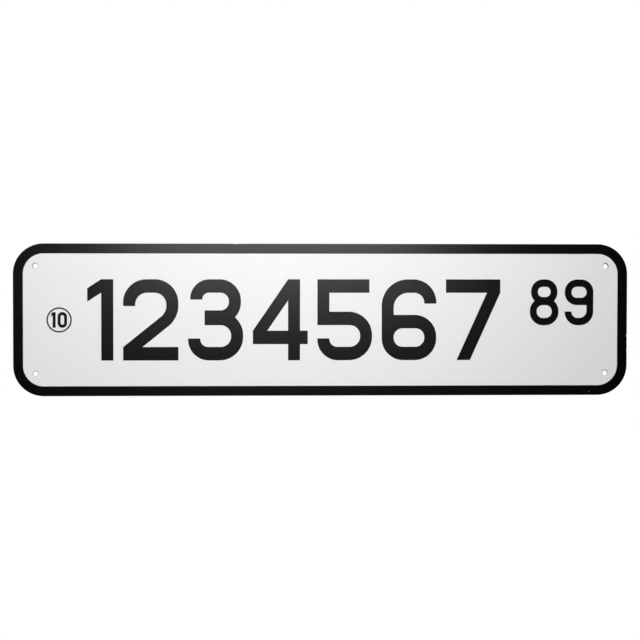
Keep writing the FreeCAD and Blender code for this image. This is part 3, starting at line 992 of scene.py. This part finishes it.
def mix_sheared_edge(finish):
    """Bare sheared metal: bright where the blade ran, rough and grey where it broke."""
    shader = new_finish("sheared_finish")
    place = shader.place()
    strokes = shader.noise(shader.stretch(place, (9000, 500, 9000)), scale=1, detail=3)
    pits = shader.noise(place, scale=6000, detail=3)
    wander = shader.noise(shader.stretch(place, (260, 0, 260)), scale=1, detail=3)
    broken = shader.ramp(shader.split(place, "Y") + 0.0003 * (wander - 0.5),
                         CUT_ENDS_SHARE * FRONT, BREAK_FULL_SHARE * FRONT)
    colour = shader.tones(0.7 * broken + 0.3 * strokes, finish.metal, 0.92, 0.56)
    roughness = 0.30 + 0.22 * broken + 0.12 * (strokes - 0.5)
    shader.surface(Base_Color=colour, Metallic=1.0, Roughness=roughness,
                   Normal=shader.bump(strokes + 1.4 * broken * pits, depth=0.00001))


def mix_rolled_back(finish):
    """Mill finish: fine rolling lines along the blade, a few faint scuffs and soft clouds."""
    shader = new_finish("rolled_finish")
    place = shader.place()
    lines = shader.noise(shader.stretch(place, (14, 1, 3600)), scale=1, detail=4, roughness=0.6)
    bands = shader.noise(shader.stretch(place, (2.5, 1, 160)), scale=1, detail=3)
    clouds = shader.noise(place, scale=16, detail=4)
    slanted = shader.noise(shader.stretch(place, (16, 1, 900), turn=(0, 0.5, 0)), scale=1)
    scuffs = shader.ramp(slanted, 0.70, 0.80)
    shade = shader.ramp(0.5 * lines + 0.3 * bands + 0.2 * clouds, 0.3, 0.7)
    uneven = 0.16 * (lines - 0.5) + 0.12 * (clouds - 0.5) + 0.08 * scuffs
    shader.surface(Base_Color=shader.tones(shade, finish.metal, 0.86, 1.10), Metallic=1.0,
                   Roughness=finish.metal_roughness + uneven,
                   Normal=shader.bump(lines + 0.5 * bands + 0.4 * scuffs, depth=0.00003))


class STREETSIGN_OT_finishes(bpy.types.Operator):
    """Mix the enamel, the print and the bare metal"""

    bl_idname = "street_sign.finishes"
    bl_label = "Mix the finishes"

    def execute(self, context):
        finish = context.scene.sign_finish
        sheet = context.scene.sign_sheet
        mix_enamel(finish, sheet)
        mix_print("border_finish", finish.border_ink, finish.ink_roughness)
        mix_print("digit_finish", finish.digit_ink, finish.ink_roughness)
        mix_punched_rim(finish, sheet)
        mix_sheared_edge(finish)
        mix_rolled_back(finish)
        return {"FINISHED"}


def add_soft_lamp(name, place, width, height, radiance):
    """A rectangular soft lamp turned to the middle. Its watts follow from size and radiance."""
    lamp = bpy.data.lights.new(name, "AREA")
    lamp.shape = "RECTANGLE"
    lamp.size = width
    lamp.size_y = height
    lamp.energy = radiance * width * height * math.pi
    holder = bpy.data.objects.new(name, lamp)
    bpy.context.scene.collection.objects.link(holder)
    holder.location = place
    holder.rotation_mode = "QUATERNION"
    holder.rotation_quaternion = (-Vector(place)).to_track_quat("-Z", "Y")
    holder.visible_camera = False


def how_seen(shader):
    """Two signals: 1 where the camera looks, straight or through glass, and 1 in gloss."""
    straight = shader.add("ShaderNodeLightPath", output="Is Camera Ray")
    return straight + straight.output("Is Transmission Ray"), straight.output("Is Glossy Ray")


def light_world(stage):
    """White behind the sign, and a dim room with a dark middle behind the camera."""
    world = bpy.data.worlds.new("studio")
    bpy.context.scene.world = world
    shader = Shader(world)
    seen, gloss = how_seen(shader)
    direction = shader.add("ShaderNodeTexCoord", output="Generated")
    forward = shader.split(direction, "Y")
    room = stage.ambient * shader.ramp(forward, *DARK_MIDDLE)
    behind_sign = shader.ramp(forward, *WHITE_BACKGROUND)
    dim = GLOSS_ROOM_SHARE * room
    in_gloss = dim + behind_sign * (1 - dim)
    strength = seen + gloss * in_gloss + (1 - seen - gloss) * room
    back = shader.add("ShaderNodeBackground", None, {"Color": opaque(WHITE), "Strength": strength})
    shader.add("ShaderNodeOutputWorld", None, {"Surface": back})


def add_floor(stage):
    """A plain pale floor, which fades to white at its rim."""
    bpy.ops.object.select_all(action="DESELECT")
    bpy.ops.mesh.primitive_plane_add(size=stage.floor_size, location=(0, 0, -stage.floor_drop))
    floor = bpy.context.object
    floor.name = "floor"
    shader = new_finish("floor_finish")
    seen, gloss = how_seen(shader)
    forward = shader.split(shader.place(), "Y")
    behind_sign = shader.ramp(forward, *FLOOR_BEHIND)
    reach = shader.length(forward.output("X"), forward)
    rim = shader.ramp(reach, FLOOR_FADES, FLOOR_WHITE_SHARE * stage.floor_size)
    plain = shader.mix(gloss * (1 - behind_sign), opaque(FLOOR_GREY), opaque(FLOOR_IN_GLOSS))
    glow = (FLOOR_GLOW + (1 - FLOOR_GLOW) * rim) * (seen + gloss * behind_sign)
    floor.data.materials.append(shader.surface(
        Base_Color=shader.mix(rim, plain, opaque(BLACK)), Roughness=1.0,
        Specular_IOR_Level=0.0, Emission_Strength=1.0,
        Emission_Color=shader.mix(glow, opaque(BLACK), opaque(WHITE))))


def add_camera(stage):
    """The camera stands a little to the left of the sign and a little above it."""
    level = math.cos(CAMERA_ELEVATION)
    back = Vector((math.sin(CAMERA_AZIMUTH) * level, -math.cos(CAMERA_AZIMUTH) * level,
                   math.sin(CAMERA_ELEVATION)))
    camera = bpy.data.cameras.new("camera")
    camera.sensor_width = SENSOR_WIDTH
    camera.lens = SENSOR_WIDTH * stage.camera_distance / stage.frame_width
    camera.clip_start, camera.clip_end = CAMERA_CLIP
    holder = bpy.data.objects.new("camera", camera)
    bpy.context.scene.collection.objects.link(holder)
    holder.location = Vector(CAMERA_AIM) + back * stage.camera_distance
    holder.rotation_mode = "QUATERNION"
    roll = Quaternion((0, 0, 1), CAMERA_ROLL)
    holder.rotation_quaternion = (-back).to_track_quat("-Z", "Y") @ roll
    bpy.context.scene.camera = holder


class STREETSIGN_OT_stage(bpy.types.Operator):
    """Set up the floor, the soft lamps, the white background and the camera"""

    bl_idname = "street_sign.stage"
    bl_label = "Set the stage"

    def execute(self, context):
        stage = context.scene.sign_stage
        light_world(stage)
        add_floor(stage)
        for name, (place, width, height, radiance) in LAMPS.items():
            add_soft_lamp(name, place, width, height, radiance)
        add_camera(stage)
        context.scene.view_settings.view_transform = "Standard"
        return {"FINISHED"}


class STREETSIGN_PT_panel(bpy.types.Panel):
    """The steps that build the sign, with their sizes"""

    bl_idname = "STREETSIGN_PT_panel"
    bl_label = "Street sign"
    bl_space_type = "VIEW_3D"
    bl_region_type = "UI"
    bl_category = "Street sign"

    def draw(self, context):
        column = self.layout.column()
        for step in STEPS:
            column.operator(step.bl_idname)
        for name in SETTINGS:
            box = self.layout.box()
            settings = getattr(context.scene, name)
            for item in settings.bl_rna.properties:
                if item.identifier in settings.__annotations__:
                    box.prop(settings, item.identifier)


STEPS = (STREETSIGN_OT_finishes, STREETSIGN_OT_sheet, STREETSIGN_OT_border, STREETSIGN_OT_legend,
         STREETSIGN_OT_emblem, STREETSIGN_OT_stage)
SETTINGS = {"sign_sheet": SheetSettings, "sign_print": PrintSettings, "sign_finish": FinishSettings,
            "sign_stage": StageSettings}
CLASSES = (*SETTINGS.values(), *STEPS, STREETSIGN_PT_panel)


def register():
    for item in CLASSES:
        bpy.utils.register_class(item)
    for name, group in SETTINGS.items():
        setattr(bpy.types.Scene, name, PointerProperty(type=group))


def unregister():
    for name in SETTINGS:
        delattr(bpy.types.Scene, name)
    for item in reversed(CLASSES):
        bpy.utils.unregister_class(item)


def main():
    """Build everything in order."""
    register()
    bpy.ops.street_sign.finishes()
    bpy.ops.street_sign.sheet()
    bpy.ops.street_sign.border()
    bpy.ops.street_sign.legend()
    bpy.ops.street_sign.emblem()
    bpy.ops.street_sign.stage()


if __name__ == "__main__":
    main()
